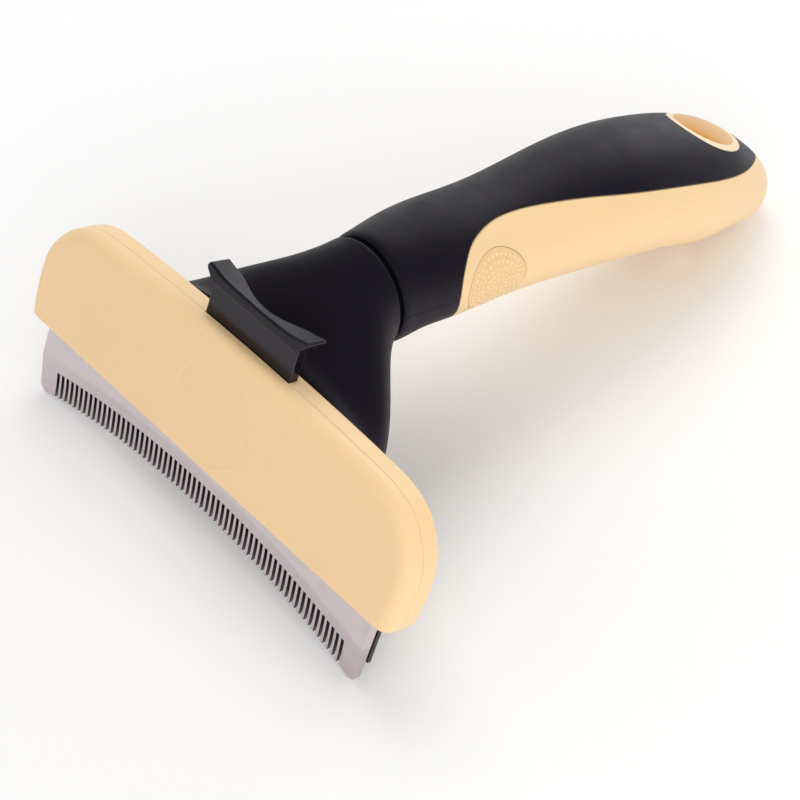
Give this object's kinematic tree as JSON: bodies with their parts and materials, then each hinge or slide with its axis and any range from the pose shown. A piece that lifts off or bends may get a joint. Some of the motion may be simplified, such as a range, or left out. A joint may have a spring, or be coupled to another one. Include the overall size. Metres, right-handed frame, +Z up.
{
  "type": "deshedding tool",
  "caption": "Deshedding tool: fine-toothed steel blade in a wide cream head, spring-returned ejector bar with a thumb button, flared neck and oval two-colour handle with a hanging eyelet.",
  "frame": {"origin": "bottom centre of the bounding box, on the surface the tool rests on", "axes": "+Z up in the resting pose, +X along the blade, +Y from the head's front face towards the handle's end. The tool rests on its two blade ends and on the lower end of the handle."},
  "size_m": [0.1074, 0.1576, 0.0498],
  "materials": {
    "cream_plastic": "satin moulded cream plastic",
    "cream_trim": "satin moulded cream plastic with a raised rim",
    "cream_pad": "fine raised dots in cream plastic",
    "black_soft": "soft-touch black",
    "black_plastic": "glossy black moulded plastic",
    "black_core": "plain black moulding",
    "blade_steel": "bead-blasted stainless steel with ground bevel",
    "screw_steel": "zinc plated steel",
    "spring_steel": "spring wire",
    "seal_rubber": "black elastomer ring"
  },
  "bodies": {
    "frame": {"head_front_shell": "cream_plastic", "head_rear_shell": "cream_plastic", "head_screws": "screw_steel", "comb_blade": "blade_steel", "blade_screws": "screw_steel", "spring_seats": "black_core", "return_spring_left": "spring_steel", "return_spring_right": "spring_steel", "neck_housing": "black_soft", "neck_screws": "screw_steel", "joint_ring": "seal_rubber", "joint_spigot": "black_core", "spigot_pins": "screw_steel", "handle_core": "black_core", "grip_upper": "black_soft", "grip_front_lower": "black_soft", "handle_lower_shell": "cream_plastic", "handle_screws": "screw_steel", "hang_eyelet": "cream_trim", "finger_pad_left": "cream_pad", "finger_pad_right": "cream_pad"},
    "ejector": {"ejector_bar": "black_plastic", "thumb_button": "black_plastic", "ejector_rivets": "screw_steel"}
  },
  "joints": [
    {"name": "eject_slide", "type": "slide", "parent": "frame", "child": "ejector", "axis": [0, -0.3246, -0.9459], "range_m": [0, 0.0062], "stiffness_N_per_m": 250, "springref_m": -0.002, "deforming": ["return_spring_left", "return_spring_right"]}
  ]
}
